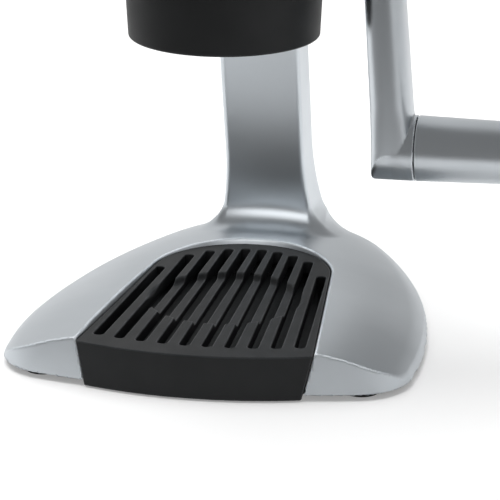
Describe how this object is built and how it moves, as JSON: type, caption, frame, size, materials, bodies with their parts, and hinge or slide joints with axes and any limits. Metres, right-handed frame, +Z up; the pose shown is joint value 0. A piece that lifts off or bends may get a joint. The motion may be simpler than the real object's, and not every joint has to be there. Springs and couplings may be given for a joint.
{
  "type": "hand-cranked ice crusher",
  "caption": "Free-standing hand-cranked ice crusher: swept base with drip tray, leaning column, tapered head with toothed rotor, lid and side crank.",
  "frame": {"origin": "on the flat underside of the base, straight below the axis of the ice outlet and of the glass seat; the rubber feet reach 2.4 mm below it", "axes": "+Z up, +X towards the crank on the user's right, +Y towards the column at the back"},
  "size_m": [0.2744, 0.2355, 0.2953],
  "materials": {
    "satin_silver": "satin silver casting",
    "satin_chrome": "satin metal",
    "black_plastic": "matt black moulding",
    "bearing_plastic": "natural acetal",
    "steel": "stainless steel",
    "rubber": "soft black rubber"
  },
  "bodies": {
    "machine": {"stand": "satin_silver", "base_plate": "black_plastic", "base_screws": "steel", "feet": "rubber", "head_housing": "satin_silver", "neck_screws": "steel", "chute_ring": "black_plastic", "hopper_liner": "black_plastic", "fixed_combs": "steel", "bearing_right": "bearing_plastic", "bearing_left": "bearing_plastic", "end_cap": "satin_silver"},
    "crank": {"rotor_shaft": "steel", "rotor_blades": "steel", "rotor_spacers": "bearing_plastic", "rotor_nut": "steel", "thrust_washer": "bearing_plastic", "crank_arm": "satin_chrome", "crank_nut": "steel", "hub_cap": "satin_chrome", "grip_spindle": "steel"},
    "handle": {"grip": "satin_chrome", "grip_cap": "satin_chrome"},
    "pan": {"drip_tray": "black_plastic"},
    "cover": {"drip_grille": "black_plastic"},
    "top": {"lid": "satin_silver", "lid_seal": "rubber", "lid_knob": "black_plastic", "lid_screw": "steel"}
  },
  "joints": [
    {"name": "crank_spin", "type": "hinge", "parent": "machine", "child": "crank", "pos_m": [0, 0, 0.1976], "axis": [1, 0, 0], "continuous": true},
    {"name": "handle_spin", "type": "hinge", "parent": "crank", "child": "handle", "pos_m": [0.13, 0, 0.0923], "axis": [1, 0, 0], "continuous": true},
    {"name": "tray_slide", "type": "slide", "parent": "machine", "child": "pan", "axis": [0, -1, 0], "range_m": [0, 0.16]},
    {"name": "grille_lift", "type": "slide", "parent": "pan", "child": "cover", "axis": [0, 0, 1], "range_m": [0, 0.03]},
    {"name": "lid_lift", "type": "slide", "parent": "machine", "child": "top", "axis": [0, 0, 1], "range_m": [0, 0.06]}
  ]
}
